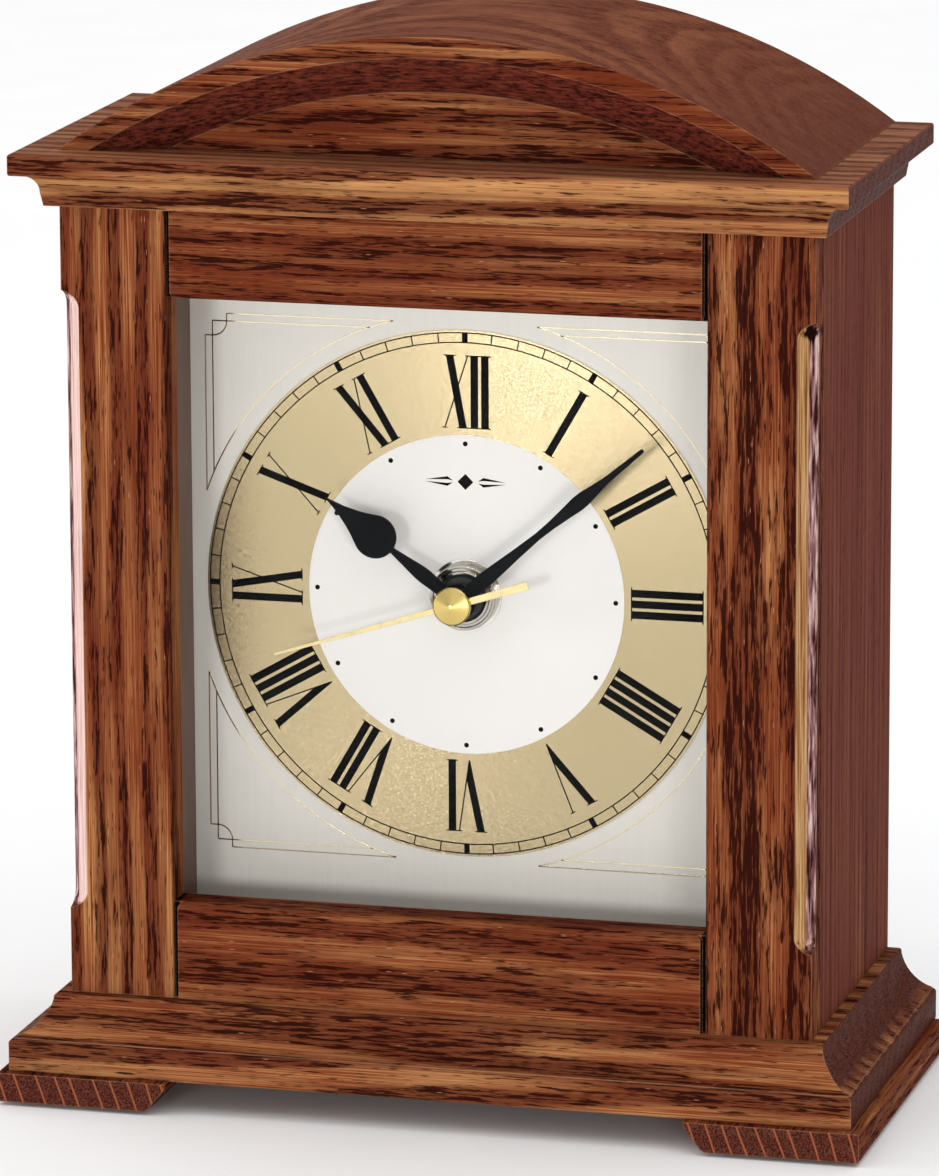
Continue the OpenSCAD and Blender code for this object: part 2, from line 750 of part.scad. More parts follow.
// Movement cover: closes the train room and holds the back pivots
module movement_cover() {
    color(black) difference() {
        union() {
            block(-move_half, move_half, cover_d, move_back, dial_z + bay_top, dial_z + move_half);
            for (side = [-1, 1])
                translate([side * 18 - 4, front_y + cover_d, dial_z + move_half]) cube([8, move_wall, 1.2]);
        }
        wheel_rod(centre_at, cover_d - 1, cover_d + 0.8, arbor_r + run);
        for (at = [fifth_at, rotor_at]) wheel_rod(at, cover_d - 1, cover_d + 0.8, pin_r + run);
        wheel_rod(setting_at, cover_d - 1, move_back + 1, 1.4 + run);
    }
}

// Stator: one soft-iron plate with the hole for the rotor and two legs
module stator() {
    leg = 3.4;
    left = coil_x - coil_half - leg;
    right = coil_x + coil_half;
    color(steel) difference() {
        translate([0, 0, dial_z]) between(layer_second + 0.1, layer_second + 0.9) union() {
            translate(rotor_at) circle(5);
            polygon([[rotor_at[0] - 4.6, rotor_at[1]], [rotor_at[0] - 1, rotor_at[1]],
                [rotor_at[0] - 1, 9.5], [left + leg, 15], [left + leg, coil_z + 2.5], [left, coil_z + 2.5],
                [left, 13], [rotor_at[0] - 5.4, 9]]);
            polygon([[rotor_at[0] + 1, rotor_at[1]], [rotor_at[0] + 4.6, rotor_at[1]], [right + leg, 9],
                [right + leg, coil_z + 2.5], [right, coil_z + 2.5], [right, 10.5], [rotor_at[0] + 1, 8]]);
        }
        wheel_rod(rotor_at, layer_second - 1, layer_second + 2, magnet_r + 0.6);
    }
}

// Coil: an iron core, a bobbin and the winding
core_h = 3;
core_t = 0.9;
flange_t = 0.8;
module coil_core() {
    color(steel) block(coil_x - coil_half - 3.4, coil_x + coil_half + 3.4, core_d, core_d + core_t,
        dial_z + coil_z - core_h / 2, dial_z + coil_z + core_h / 2);
}
module coil_bore(x0, x1) {
    block(x0, x1, core_d - 0.05, core_d + core_t + 0.05,
        dial_z + coil_z - core_h / 2 - 0.05, dial_z + coil_z + core_h / 2 + 0.05);
}
module along_coil(x0, x1, r) {
    translate([x0, front_y + core_d + core_t / 2, dial_z + coil_z]) rotate([0, 90, 0]) cylinder(r = r, h = x1 - x0);
}
module coil_bobbin() {
    x0 = coil_x - coil_half + 0.1;
    x1 = coil_x + coil_half - 0.1;
    color(white_plastic) difference() {
        union() {
            along_coil(x0, x1, 2.1);
            along_coil(x0, x0 + flange_t, coil_r);
            along_coil(x1 - flange_t, x1, coil_r);
        }
        coil_bore(x0 - 1, x1 + 1);
    }
}
module coil_winding() {
    x0 = coil_x - coil_half + 0.1 + flange_t;
    x1 = coil_x + coil_half - 0.1 - flange_t;
    color("#b5622d") difference() {
        along_coil(x0, x1, coil_r - 0.35);
        along_coil(x0 - 1, x1 + 1, 2.1);
    }
}

// Circuit board, with its crystal and its driver chip
board_d = room_front + 2.4;
board_t = 0.8;
module circuit_board() {
    color("#3d6b3a") difference() {
        block(13, 26, board_d, board_d + board_t, dial_z - 10.4, dial_z + 15.4);
        wheel_rod(pillars[2], board_d - 1, board_d + 2, 1.8);
    }
}
module driver_chip() {
    color(black) translate([0, front_y + board_d + board_t, 0]) rotate([-90, 0, 0])
        translate([17, -dial_z - 11, 0]) cylinder(r = 2.4, h = 0.9);
}
module quartz_crystal() {
    color(steel) translate([22.5, front_y + board_d + board_t + 1, dial_z - 7])
        cylinder(r = 1, h = 7);
}

// Battery and its two spring contacts
cell_x = -0.3;
nub_l = 1.1;
module along_cell(x0, x1, r) {
    translate([x0, front_y + cell_d, dial_z + cell_z]) rotate([0, 90, 0]) cylinder(r = r, h = x1 - x0);
}
module battery() {
    x0 = cell_x - cell_l / 2;
    x1 = cell_x + cell_l / 2;
    color("#5a6a78") union() {
        along_cell(x0, x1, cell_r);
        along_cell(x1 - 0.1, x1 + nub_l, 2.6);
    }
}
module contact_positive() {
    x0 = cell_x + cell_l / 2 + nub_l;
    color(steel) union() {
        block(x0, x0 + 0.4, cell_d - 4, cell_d + 6, dial_z + cell_z - 4, dial_z + cell_z + 4);
        block(x0, bay_half, cell_d + 5.6, cell_d + 6, dial_z + cell_z - 4, dial_z + cell_z + 4);
    }
}
module contact_negative() {
    x1 = cell_x - cell_l / 2;
    color(steel) union() {
        for (k = [0 : 2]) along_cell(-bay_half + 0.4 * k, -bay_half + 0.4 * (k + 1), 4.6 - 1.1 * k);
        along_cell(-bay_half + 1.2, x1, 1.6);
        block(-bay_half, -bay_half + 0.4, cell_d - 5, cell_d + 6, dial_z + cell_z - 5, dial_z + cell_z + 5);
    }
}

stile_left();
stile_right();
rail_upper();
rail_lower();
side_panel_left();
side_panel_right();
cornice();
hood();
tympanum_panel();
base_board();
foot_runner_left();
foot_runner_right();
foot_pads();
base_screws();
cornice_screws();
corner_blocks();
back_panel();
back_screws();
glass();
liner_left();
liner_right();
liner_top();
liner_bottom();
dial_plate();
chapter_ring();
dial_centre();
dial_screws();
dial_nut();
dial_washer();
gasket();
hour_hand();
minute_hand();
second_hand();
second_cap();
movement_case();
movement_cover();
bearing_plate();
hour_wheel();
minute_pipe();
centre_wheel();
intermediate_wheel();
second_wheel();
third_wheel();
fifth_wheel();
rotor();
setting_knob();
stator();
coil_core();
coil_bobbin();
coil_winding();
circuit_board();
quartz_crystal();
driver_chip();
contact_positive();
contact_negative();
battery();
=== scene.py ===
import math

import bmesh
import bpy
from mathutils import Matrix, Vector


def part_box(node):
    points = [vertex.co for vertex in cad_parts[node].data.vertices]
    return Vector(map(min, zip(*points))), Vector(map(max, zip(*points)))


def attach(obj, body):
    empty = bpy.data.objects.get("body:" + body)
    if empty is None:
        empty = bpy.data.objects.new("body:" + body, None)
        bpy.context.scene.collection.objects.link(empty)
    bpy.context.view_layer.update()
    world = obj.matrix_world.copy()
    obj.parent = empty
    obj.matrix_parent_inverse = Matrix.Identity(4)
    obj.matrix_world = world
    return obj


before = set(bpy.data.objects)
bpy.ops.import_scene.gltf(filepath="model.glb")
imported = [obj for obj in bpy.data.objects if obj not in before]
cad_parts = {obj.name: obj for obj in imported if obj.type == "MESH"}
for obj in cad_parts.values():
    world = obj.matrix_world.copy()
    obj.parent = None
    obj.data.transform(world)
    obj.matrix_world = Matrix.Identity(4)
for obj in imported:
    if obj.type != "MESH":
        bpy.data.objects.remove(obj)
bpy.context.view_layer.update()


# Felt pads: four discs of black wool felt, die-cut and glued under the ends
# of the two runners, so that the clock does not scratch what it stands on.

mm_per_m = 1000


class Value:
    """What one socket gives; Python arithmetic on it adds Math nodes."""

    def __init__(self, finish, socket):
        self.finish = finish
        self.socket = socket

    def math(self, operation, *others):
        """This value worked on by a Math node, together with any others it takes."""
        terms = dict(enumerate((self, *others)))
        return self.finish.node("ShaderNodeMath", {"operation": operation}, terms)

    def __add__(self, other):
        return self.math("ADD", other)

    def __sub__(self, other):
        return self.math("SUBTRACT", other)

    def __rsub__(self, other):
        return self.finish.node("ShaderNodeMath", {"operation": "SUBTRACT"}, {0: other, 1: self})

    def __mul__(self, other):
        return self.math("MULTIPLY", other)

    def __truediv__(self, other):
        return self.math("DIVIDE", other)

    def __gt__(self, other):
        return self.math("GREATER_THAN", other)

    def __abs__(self):
        return self.math("ABSOLUTE")

    __radd__ = __add__
    __rmul__ = __mul__


class Finish:
    """A material. Constants sit on its shader, and what varies is fed to it."""

    def __init__(self, name, constants):
        self.material = bpy.data.materials.new(name)
        self.material.use_nodes = True
        self.tree = self.material.node_tree
        self.shader = self.tree.nodes["Principled BSDF"]
        for socket, value in constants.items():
            self.shader.inputs[socket].default_value = value

    def node(self, kind, settings=None, inputs=None, output=0):
        """A node of any kind: its settings first, then the values or links of its sockets."""
        made = self.tree.nodes.new(kind)
        for name, value in (settings or {}).items():
            if name == "stops":
                ends = made.color_ramp.elements
                ends[0].position, ends[0].color = value[0]
                ends[1].position, ends[1].color = value[-1]
                for place, colour in value[1:-1]:
                    ends.new(place).color = colour
            else:
                setattr(made, name, value)
        for name, value in (inputs or {}).items():
            if isinstance(value, Value):
                self.tree.links.new(value.socket, made.inputs[name])
            else:
                made.inputs[name].default_value = value
        return Value(self, made.outputs[output])

    def feed(self, socket, value):
        self.tree.links.new(value.socket, self.shader.inputs[socket])

    def place(self):
        """The point on the piece as x, y and z in millimetres."""
        metres = self.node("ShaderNodeTexCoord", output="Object")
        scaled = {0: metres, 3: mm_per_m}
        return self.split(self.node("ShaderNodeVectorMath", {"operation": "SCALE"}, scaled))

    def split(self, vector):
        return [self.node("ShaderNodeSeparateXYZ", {}, {0: vector}, axis) for axis in range(3)]

    def vector(self, *parts):
        return self.node("ShaderNodeCombineXYZ", {}, dict(enumerate(parts)))

    def clouds(self, vector, detail=2.0, rough=0.5):
        inputs = {"Vector": vector, "Scale": 1.0, "Detail": detail, "Roughness": rough}
        return self.node("ShaderNodeTexNoise", {}, inputs)

    def ramp(self, value, *stops):
        """Stops are (place, grey) or (place, (r, g, b))."""
        full = []
        for place, colour in stops:
            shade = colour if isinstance(colour, tuple) else (colour, colour, colour)
            full.append((place, (*shade, 1.0)))
        return self.node("ShaderNodeValToRGB", {"stops": full}, {0: value})

    def mix(self, share, first, second):
        """The first colour, with a share of the second laid over it."""
        colours = [(*c, 1.0) if isinstance(c, tuple) else c for c in (first, second)]
        inputs = {0: share, 6: colours[0], 7: colours[1]}
        return self.node("ShaderNodeMix", {"data_type": "RGBA"}, inputs, 2)

    def bump(self, height, depth, eased=0.0):
        """Relief of a depth in millimetres, on edges eased by a radius in millimetres."""
        inputs = {"Height": height, "Strength": 1.0, "Distance": depth / mm_per_m}
        if eased:
            radius = {"Radius": eased / mm_per_m}
            inputs["Normal"] = self.node("ShaderNodeBevel", {"samples": 4}, radius)
        self.feed("Normal", self.node("ShaderNodeBump", {}, inputs))


def dress(finish, *names):
    """Gives the named parts of the frame a finish."""
    for name in names:
        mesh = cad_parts[name].data
        mesh.materials.clear()
        mesh.materials.append(finish.material)


felt = Finish("felt", {"Roughness": 0.95, "Sheen Weight": 0.4})
x, y, z = felt.place()
fuzz = felt.clouds(felt.vector(x * 6, y * 6, z * 6), 4.0, 0.7)
felt.feed("Base Color", felt.ramp(fuzz, (0.3, (0.006, 0.006, 0.007)), (0.7, (0.035, 0.034, 0.036))))
felt.bump(fuzz, 0.12)
dress(felt, "foot_pads")


# Foot runners: two oak bars with bevelled inner ends, glued across under the
# ends of the base. Their grain runs from front to back, so that the sawn ends
# with their pale rays face forward.

STAIN = {
    "black": (0.02, 0.0032, 0.0025),
    "dark": (0.075, 0.013, 0.0075),
    "red": (0.125, 0.024, 0.009),
    "brown": (0.235, 0.068, 0.025),
    "gold": (0.47, 0.23, 0.088),
    "sawn": (0.13, 0.041, 0.027),
    "pith": (0.03, 0.007, 0.005),
    "ray": (0.3, 0.085, 0.035),
    # Pale tone of the painted glints and edge highlights, and of wear along the edges
    "wear_and_highlight": (0.5, 0.25, 0.14),
}


def oak(name, along, heart, ring=5.0, lean=(0.0, 0.0), dark=0.5, light=0.0, pores=0.5,
        belt_length=55, rays=0.0, gloss=0.002, rough=0.3, shade=None):
    """Stained open-pored oak, solid through the piece. Its grain runs along an axis; heart is
    where the middle of the tree lies across it, and ring the width of a year's growth, in
    millimetres."""
    finish = Finish(name, {"Specular IOR Level": gloss})
    x, y, z = finish.place()
    u, v, w = {"x": (x, z, y), "y": (y, x, z), "z": (z, x, y)}[along]

    def figure(length, width):
        """The point, stretched for a figure of this size in millimetres along the grain."""
        return finish.vector(u / length, v / width, w / width)

    # The year rings lie round the heart, which runs a little aslant of the piece
    off_v = v + u * lean[0] - heart[0]
    off_w = w + u * lean[1] - heart[1]
    wander = finish.clouds(figure(120, 40), 2.0) - 0.5
    year = (off_v * off_v + off_w * off_w).math("SQRT") / ring + wander * 2.0
    early = finish.ramp(year.math("FRACT"), (0.0, 1.0), (0.3, 0.85), (0.5, 0.1), (0.86, 0.0),
                        (1.0, 1.0))
    fibre = finish.clouds(figure(22, 0.26), 3.0, 0.65)
    patch = finish.clouds(figure(belt_length, 2.4), 3.0, 0.6)
    region = finish.clouds(figure(38, 8), 1.0)
    tone = fibre * 2.2 + patch * 0.8 + region * 0.9 + (light - 1.6)
    colour = finish.ramp(tone, (0.1, STAIN["red"]), (0.4, STAIN["brown"]), (0.85, STAIN["gold"]))
    # The stain sinks deeper into the soft spring wood, in long belts that wander
    belt = early * 0.24 + patch * 0.95 + fibre * 0.45
    deep = finish.ramp(belt, (0.68 - dark * 0.1, 0.0), (0.92 - dark * 0.1, 1.0))
    soaked = finish.ramp(fibre, (0.3, STAIN["dark"]), (0.7, STAIN["red"]))
    colour = finish.mix(deep * 0.86, colour, soaked)
    # Filled pores: ragged black dashes, mostly within the belts
    ragged = finish.clouds(figure(7.5, 0.55), 3.0, 0.6)
    sparse = 0.75 - pores * 0.14
    dash = finish.ramp(ragged + deep * 0.14 + early * 0.03, (sparse, 0.0), (sparse + 0.05, 1.0))
    cells = {"Vector": figure(3.0, 0.26), "Scale": 1.0}
    reach = finish.node("ShaderNodeTexVoronoi", {}, cells, "Distance")
    chance = finish.split(finish.node("ShaderNodeTexVoronoi", {}, cells, "Color"))[0]
    grown = finish.ramp(reach, (0.22, 1.0), (0.45, 0.0))
    pore = grown * (deep * 0.3 + 0.1 > chance)
    filled = dash.math("MAXIMUM", pore * 0.75)
    colour = finish.mix(filled * 0.93, colour, STAIN["black"])
    # Painted glints: a few open pores get pale specks, for the light they catch
    speck = finish.ramp(reach, (0.14, 0.8), (0.24, 0.0)) * (chance > 0.975)
    colour = finish.mix(speck, colour, STAIN["wear_and_highlight"])
    # Sawn ends show the pores as dots
    normal = finish.split(finish.node("ShaderNodeTexCoord", output="Normal"))
    ends = finish.ramp(abs(normal["xyz".index(along)]), (0.3, 0.0), (0.55, 1.0))
    dots = finish.clouds(figure(4, 0.33), 3.0, 0.7)
    sawn = finish.mix(finish.ramp(dots, (0.42, 0.0), (0.6, 1.0)), STAIN["pith"], STAIN["sawn"])
    sawn = finish.mix(early * 0.25, sawn, STAIN["dark"])
    if rays:
        across = {"W": (v + w * 0.32 + wander * 5) / rays, "Scale": 1.0}
        kind = {"feature": "DISTANCE_TO_EDGE", "voronoi_dimensions": "1D"}
        gap = finish.node("ShaderNodeTexVoronoi", kind, across, "Distance")
        sawn = finish.mix(finish.ramp(gap, (0.035, 0.9), (0.075, 0.0)), sawn, STAIN["ray"])
    colour = finish.mix(ends, colour, sawn)
    if shade:
        colour = shade(finish, colour, (x, y, z), normal)
    # Painted highlight and wear: edges are lightened toward a pale tone, for stain worn thin and
    # for the highlights edges catch
    flat = finish.node("ShaderNodeNewGeometry", output="Normal")
    eased = finish.node("ShaderNodeBevel", {"samples": 4}, {"Radius": 0.4 / mm_per_m})
    dot = {"operation": "DOT_PRODUCT"}
    turn = finish.node("ShaderNodeVectorMath", dot, {0: flat, 1: eased}, "Value")
    patchy = finish.ramp(fibre, (0.35, 0.1), (0.6, 0.6))
    wear_and_highlight = finish.ramp(1 - turn, (0.01, 0.0), (0.12, 1.0)) * patchy
    colour = finish.mix(wear_and_highlight, colour, STAIN["wear_and_highlight"])
    finish.feed("Base Color", colour)
    finish.feed("Roughness", filled * 0.25 + fibre * 0.12 + rough)
    finish.bump(1 - filled * (1 - ends) + fibre * 0.15, 0.06, eased=0.35)
    return finish


dress(oak("oak_runner_left", "y", (-75, 90), ring=3.2, rays=3.4), "foot_runner_left")
dress(oak("oak_runner_right", "y", (60, 90), ring=3.2, rays=3.4), "foot_runner_right")


# Base board: one thick oak board, moulded with a ledge, a hollow and a square
# band along its front and both ends, and screwed up into the side panels.

dress(oak("oak_base", "x", (-26, 40), ring=4.2, lean=(0.02, 0.03), dark=0.3, light=0.2,
          pores=0.6, gloss=0.006), "base_board")


# Case: two oak stiles with stopped chamfers and two rails glued between them
# make the front frame, and the side panels are glued on behind the stiles.

chamfer_from = 60
arris = 68.9


def chamfered(streaks, corner_tones, crease, knot=0.0):
    """Colouring for a stile: the tones of the painted highlight on its chamfer and on the chamfer's
    outer corner, how far out that corner starts, and the height of a black knot on it, if there is
    one."""
    def shade(finish, colour, point, normal):
        """Painted highlight and reflection: the chamfer is coloured in streaked tones, and its
        outer corner in tones of its own, for the sheen that the lamps lay on them."""
        x, y, z = point
        steep = finish.ramp(abs(normal[0] * normal[1]), (0.2, 0.0), (0.36, 1.0))
        slope = steep * (abs(x) > chamfer_from)
        thin = finish.clouds(finish.vector(x / 0.35, y / 0.35, z / 22), 4.0, 0.65)
        chamfer_highlight = finish.ramp(thin, (0.36, streaks[0]), (0.5, streaks[1]), (0.66, streaks[2]))
        ticks = finish.clouds(finish.vector(x / 0.7, y / 0.7, z / 8), 3.0, 0.6)
        low, mean, high = corner_tones
        corner = finish.ramp(ticks, (0.4, low), (0.52, mean), (0.66, high))
        outer = finish.ramp(abs(x) + thin * 0.5 - crease, (0.2, 0.0), (0.3, 1.0))
        # Painted highlight and reflection laid over the wood on the chamfer and its outer corner
        colour = finish.mix(slope * 0.95, colour, finish.mix(outer, chamfer_highlight, corner))
        if not knot:
            return colour
        aside = abs(x) - arris
        above = (z - knot) * 0.8
        away = (aside * aside + above * above).math("SQRT")
        scorch = finish.ramp(away + ticks * 2.4 - 1.6, (0.5, 1.0), (1.1, 0.0))
        return finish.mix(scorch, colour, (0.01, 0.003, 0.003))
    return shade


# Tones of the painted highlight and reflection on the chamfers of the stiles
pale = ((0.5, 0.3, 0.26), (0.72, 0.5, 0.46), (0.82, 0.64, 0.6))
golden = ((0.16, 0.05, 0.02), (0.4, 0.2, 0.075), (0.58, 0.4, 0.2))
mauve = ((0.03, 0.008, 0.007), (0.26, 0.12, 0.12), (0.62, 0.45, 0.4))
dress(oak("oak_stile_left", "z", (160, 60), ring=4.6, lean=(0.01, -0.02), dark=0.35, light=0.13,
          pores=0.45, shade=chamfered(pale, mauve, crease=69.0)), "stile_left")
dress(oak("oak_stile_right", "z", (-190, 70), ring=9.0, lean=(-0.012, 0.02), dark=0.6, light=0.04,
          pores=0.95, belt_length=17, shade=chamfered(golden, mauve, crease=68.5, knot=149.2)),
      "stile_right")

groove_from = 49.35


def painted_groove_shade(finish, colour, point, normal):
    """Painted shade: the ends of a rail, down in the groove beside the stiles, are coloured black.
    """
    return finish.mix(abs(point[0]) > groove_from, colour, (0.004, 0.003, 0.003))


dress(oak("oak_rail_lower", "x", (-90, 60), ring=6.0, lean=(0.03, 0.02), dark=0.5, light=0.07,
          belt_length=22, shade=painted_groove_shade), "rail_lower")
dress(oak("oak_rail_upper", "x", (320, 70), ring=4.4, lean=(-0.02, 0.03), dark=0.45, light=0.04,
          shade=painted_groove_shade), "rail_upper")


def faded(finish, colour, point, normal):
    """The sides are plainer and duller, with fine upright lines."""
    x, y, z = point
    upright_lines = finish.clouds(finish.vector(x / 3, y / 1.1, z / 110), 3.0, 0.6)
    plain = finish.ramp(upright_lines, (0.34, (0.055, 0.014, 0.011)),
                        (0.46, (0.125, 0.036, 0.026)), (0.7, (0.17, 0.053, 0.039)))
    return finish.mix(0.7, colour, plain)


for side, far in (("left", -60), ("right", 60)):
    panel = oak("oak_side_" + side, "z", (far, 240), ring=3.4, dark=0.3, pores=0.1, rough=0.4,
                shade=faded)
    dress(panel, "side_panel_" + side)


# Cornice: an oak board moulded with a square edge over a hollow along its
# front and both ends, laid on the case and screwed down into the side panels.

def painted_top_sheen(finish, colour, point, normal):
    """Painted sheen: the faces that look up are made plainer and paler, for the sheen of light from
    above.
    """
    x, y, z = point
    crown = finish.ramp(normal[2], (0.15, 0.0), (0.4, 0.5))
    wave = finish.clouds(finish.vector(x / 9, y / 2.5, z / 2.5), 3.0, 0.6)
    bare = finish.ramp(wave, (0.3, (0.145, 0.043, 0.024)), (0.7, (0.22, 0.078, 0.045)))
    return finish.mix(crown, colour, bare)


dress(oak("oak_cornice", "x", (120, 60), ring=3.8, lean=(0.015, 0.02), dark=0.1, light=0.36,
          pores=0.62, gloss=0.006, shade=painted_top_sheen), "cornice")


# Hood: a block of oak sawn to an arch and glued on the cornice, with a tapered
# recess cut into its front and a thin oak panel let in at the bottom of it.

def hood_sheen_and_taper(finish, colour, point, normal):
    """The crown of the arch gets the painted sheen of faces that look up, and the faces that look
    down, in the taper of the recess, are made dark with black dashes.
    """
    x, y, z = point
    colour = painted_top_sheen(finish, colour, point, normal)
    # Faces that look down, in the taper of the recess, are darkened with black dashes
    inward = finish.ramp(0 - normal[2], (0.2, 0.0), (0.35, 1.0))
    dashes = finish.clouds(finish.vector(x / 2.6, y / 0.5, z / 0.5), 4.0, 0.7)
    downward_tones = finish.ramp(dashes, (0.4, (0.01, 0.0035, 0.003)), (0.5, (0.085, 0.015, 0.01)),
                       (0.7, (0.17, 0.035, 0.02)))
    return finish.mix(inward * 0.9, colour, downward_tones)


dress(oak("oak_hood", "x", (90, 20), ring=2.8, lean=(0.02, 0.05), dark=0.3, light=0.02,
          pores=0.45, shade=hood_sheen_and_taper), "hood")
dress(oak("oak_panel", "x", (420, -30), ring=6.0, lean=(-0.01, 0.0), dark=0.75, light=0.12,
          pores=0.7), "tympanum_panel")


# Screws that hold the base and the cornice to the side panels: turned brass,
# sunk into the boards, where the runners and the hood cover their heads.

def metal(name, colour, rough=0.3, grain=(3.0, 3.0, 3.0), contrast=0.12, depth=0.01):
    """Bare or plated metal with faint streaks, as many to the millimetre as grain says."""
    finish = Finish(name, {"Metallic": 1.0})
    x, y, z = finish.place()
    streaks = finish.clouds(finish.vector(x * grain[0], y * grain[1], z * grain[2]), 3.0, 0.6)
    darker = tuple(c * (1 - contrast) for c in colour)
    lighter = tuple(min(1.0, c * (1 + contrast)) for c in colour)
    finish.feed("Base Color", finish.ramp(streaks, (0.3, darker), (0.7, lighter)))
    finish.feed("Roughness", streaks * 0.2 + (rough - 0.1))
    finish.bump(streaks, depth, eased=0.08)
    return finish


dress(metal("screw_brass", (0.78, 0.56, 0.26), rough=0.35), "base_screws", "cornice_screws")


# Back: a dark stained board set in between the side panels and fixed with
# steel screws to four glued pine blocks. A hand reaches the movement through
# its opening.

pine = Finish("pine", {"Roughness": 0.6})
x, y, z = pine.place()
rings = pine.clouds(pine.vector(x / 1.2, y / 1.2, z / 30), 2.0)
pine.feed("Base Color", pine.ramp(rings, (0.35, (0.42, 0.24, 0.1)), (0.6, (0.62, 0.42, 0.2))))
pine.bump(rings, 0.05, eased=0.3)
dress(pine, "corner_blocks")

board = Finish("back_board", {})
x, y, z = board.place()
fibres = board.clouds(board.vector(x * 1.6, y * 3, z * 1.6), 5.0, 0.7)
dark_fibre, light_fibre = (0.018, 0.014, 0.012), (0.05, 0.038, 0.032)
board.feed("Base Color", board.ramp(fibres, (0.3, dark_fibre), (0.7, light_fibre)))
board.feed("Roughness", board.ramp(fibres, (0.3, 0.5), (0.7, 0.75)))
board.bump(fibres, 0.05, eased=0.3)
dress(board, "back_panel")

dress(metal("screw_steel", (0.62, 0.61, 0.6), rough=0.3), "back_screws", "dial_screws")


# Window: a sheet of plain glass laid behind the front frame, and four dark
# strips of wood glued up to a box that keeps the dial back from it.

glass = Finish("glass", {"Base Color": (0.25, 0.28, 0.27, 1.0), "IOR": 1.5})
x, y, z = glass.place()
film = glass.clouds(glass.vector(x / 9, y / 9, z / 9), 3.0, 0.6)
glass.feed("Alpha", glass.ramp(film, (0.3, 0.003), (0.7, 0.01)))
glass.feed("Roughness", glass.ramp(film, (0.3, 0.02), (0.7, 0.07)))
dress(glass, "glass")

liner = Finish("liner", {"Specular IOR Level": 0.35})
x, y, z = liner.place()
grain = liner.clouds(liner.vector(x / 0.8, y / 0.8, z / 12), 3.0, 0.6)
umber, tan = (0.085, 0.042, 0.027), (0.15, 0.08, 0.053)
liner.feed("Base Color", liner.ramp(grain, (0.3, umber), (0.7, tan)))
liner.feed("Roughness", grain * 0.2 + 0.4)
liner.bump(grain, 0.03, eased=0.2)
dress(liner, "liner_left", "liner_right", "liner_top", "liner_bottom")


# Dial plate: an aluminium sheet brushed up and down and screwed to the liner
# from behind. It carries a thin gold ring brushed round its centre and, within
# that, a disc enamelled white.

ring_low, ring_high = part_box("chapter_ring")
dial_z = (ring_low.z + ring_high.z) / 2
print_face = ring_low.y
plate_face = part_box("dial_plate")[0].y


def brushed(name, colour, rough, sway, streak, round_dial=False, metallic=1.0):
    """Metal brushed in straight lines up and down, or in circles. Each scratch tips the
    surface across itself, by as much as sway says."""
    finish = Finish(name, {"Metallic": metallic, "Roughness": rough})
    x, y, z = finish.place()
    if round_dial:
        above = z - dial_z * mm_per_m
        radius = (x * x + above * above).math("SQRT")
        turn = x.math("ARCTAN2", above)
        scratch = finish.vector(radius * 37, turn * 50, 0.0)
        broad = finish.vector(radius * 1.1, turn * 2.2, 0.0)
        across = finish.vector(x / radius, 0.0, above / radius)
    else:
        scratch = finish.vector(x * 23, z * 0.12, 0.0)
        broad = finish.vector(x * 1.3, z * 0.03, 0.0)
        across = finish.vector(1.0, 0.0, 0.0)
    tip = (finish.clouds(scratch, 1.0) - 0.5) * sway
    surface = finish.node("ShaderNodeNewGeometry", output="Normal")
    tipped = finish.node("ShaderNodeVectorMath", {"operation": "SCALE"}, {0: across, 3: tip})
    total = finish.node("ShaderNodeVectorMath", {"operation": "ADD"}, {0: surface, 1: tipped})
    unit = {"operation": "NORMALIZE"}
    finish.feed("Normal", finish.node("ShaderNodeVectorMath", unit, {0: total}))
    bands = finish.clouds(broad, 4.0, 0.65)
    darker = tuple(c * (1 - streak) for c in colour)
    finish.feed("Base Color", finish.ramp(bands, (0.3, darker), (0.7, colour)))
    return finish


dress(brushed("dial_silver", (0.66, 0.635, 0.575), rough=0.42, sway=0.3, streak=0.04,
              metallic=0.15), "dial_plate")
dress(brushed("dial_gold", (0.42, 0.34, 0.2), rough=0.27, sway=0.65, streak=0.03,
              round_dial=True), "chapter_ring")

enamel = Finish("dial_white", {"Specular IOR Level": 0.4})
x, y, z = enamel.place()
orange_peel = enamel.clouds(enamel.vector(x * 5, y * 5, z * 5), 3.0, 0.6)
dull, bright = (0.76, 0.74, 0.705), (0.79, 0.77, 0.735)
enamel.feed("Base Color", enamel.ramp(orange_peel, (0.3, dull), (0.7, bright)))
enamel.feed("Roughness", orange_peel * 0.1 + 0.35)
enamel.bump(orange_peel, 0.006)
dress(enamel, "dial_centre")


# Printing on the dial: the minute track, the Roman hours with their feet to
# the middle, twelve dots and a small ornament, silk-screened in black ink that
# stands a little proud.

ink = Finish("ink", {"Specular IOR Level": 0.0})
x, y, z = ink.place()
specks = ink.clouds(ink.vector(x * 8, y * 8, z * 8), 2.0)
jet, soot = (0.003, 0.003, 0.003), (0.008, 0.0075, 0.0075)
ink.feed("Base Color", ink.ramp(specks, (0.3, jet), (0.7, soot)))
ink.feed("Roughness", specks * 0.2 + 0.4)
ink_thick = 0.03


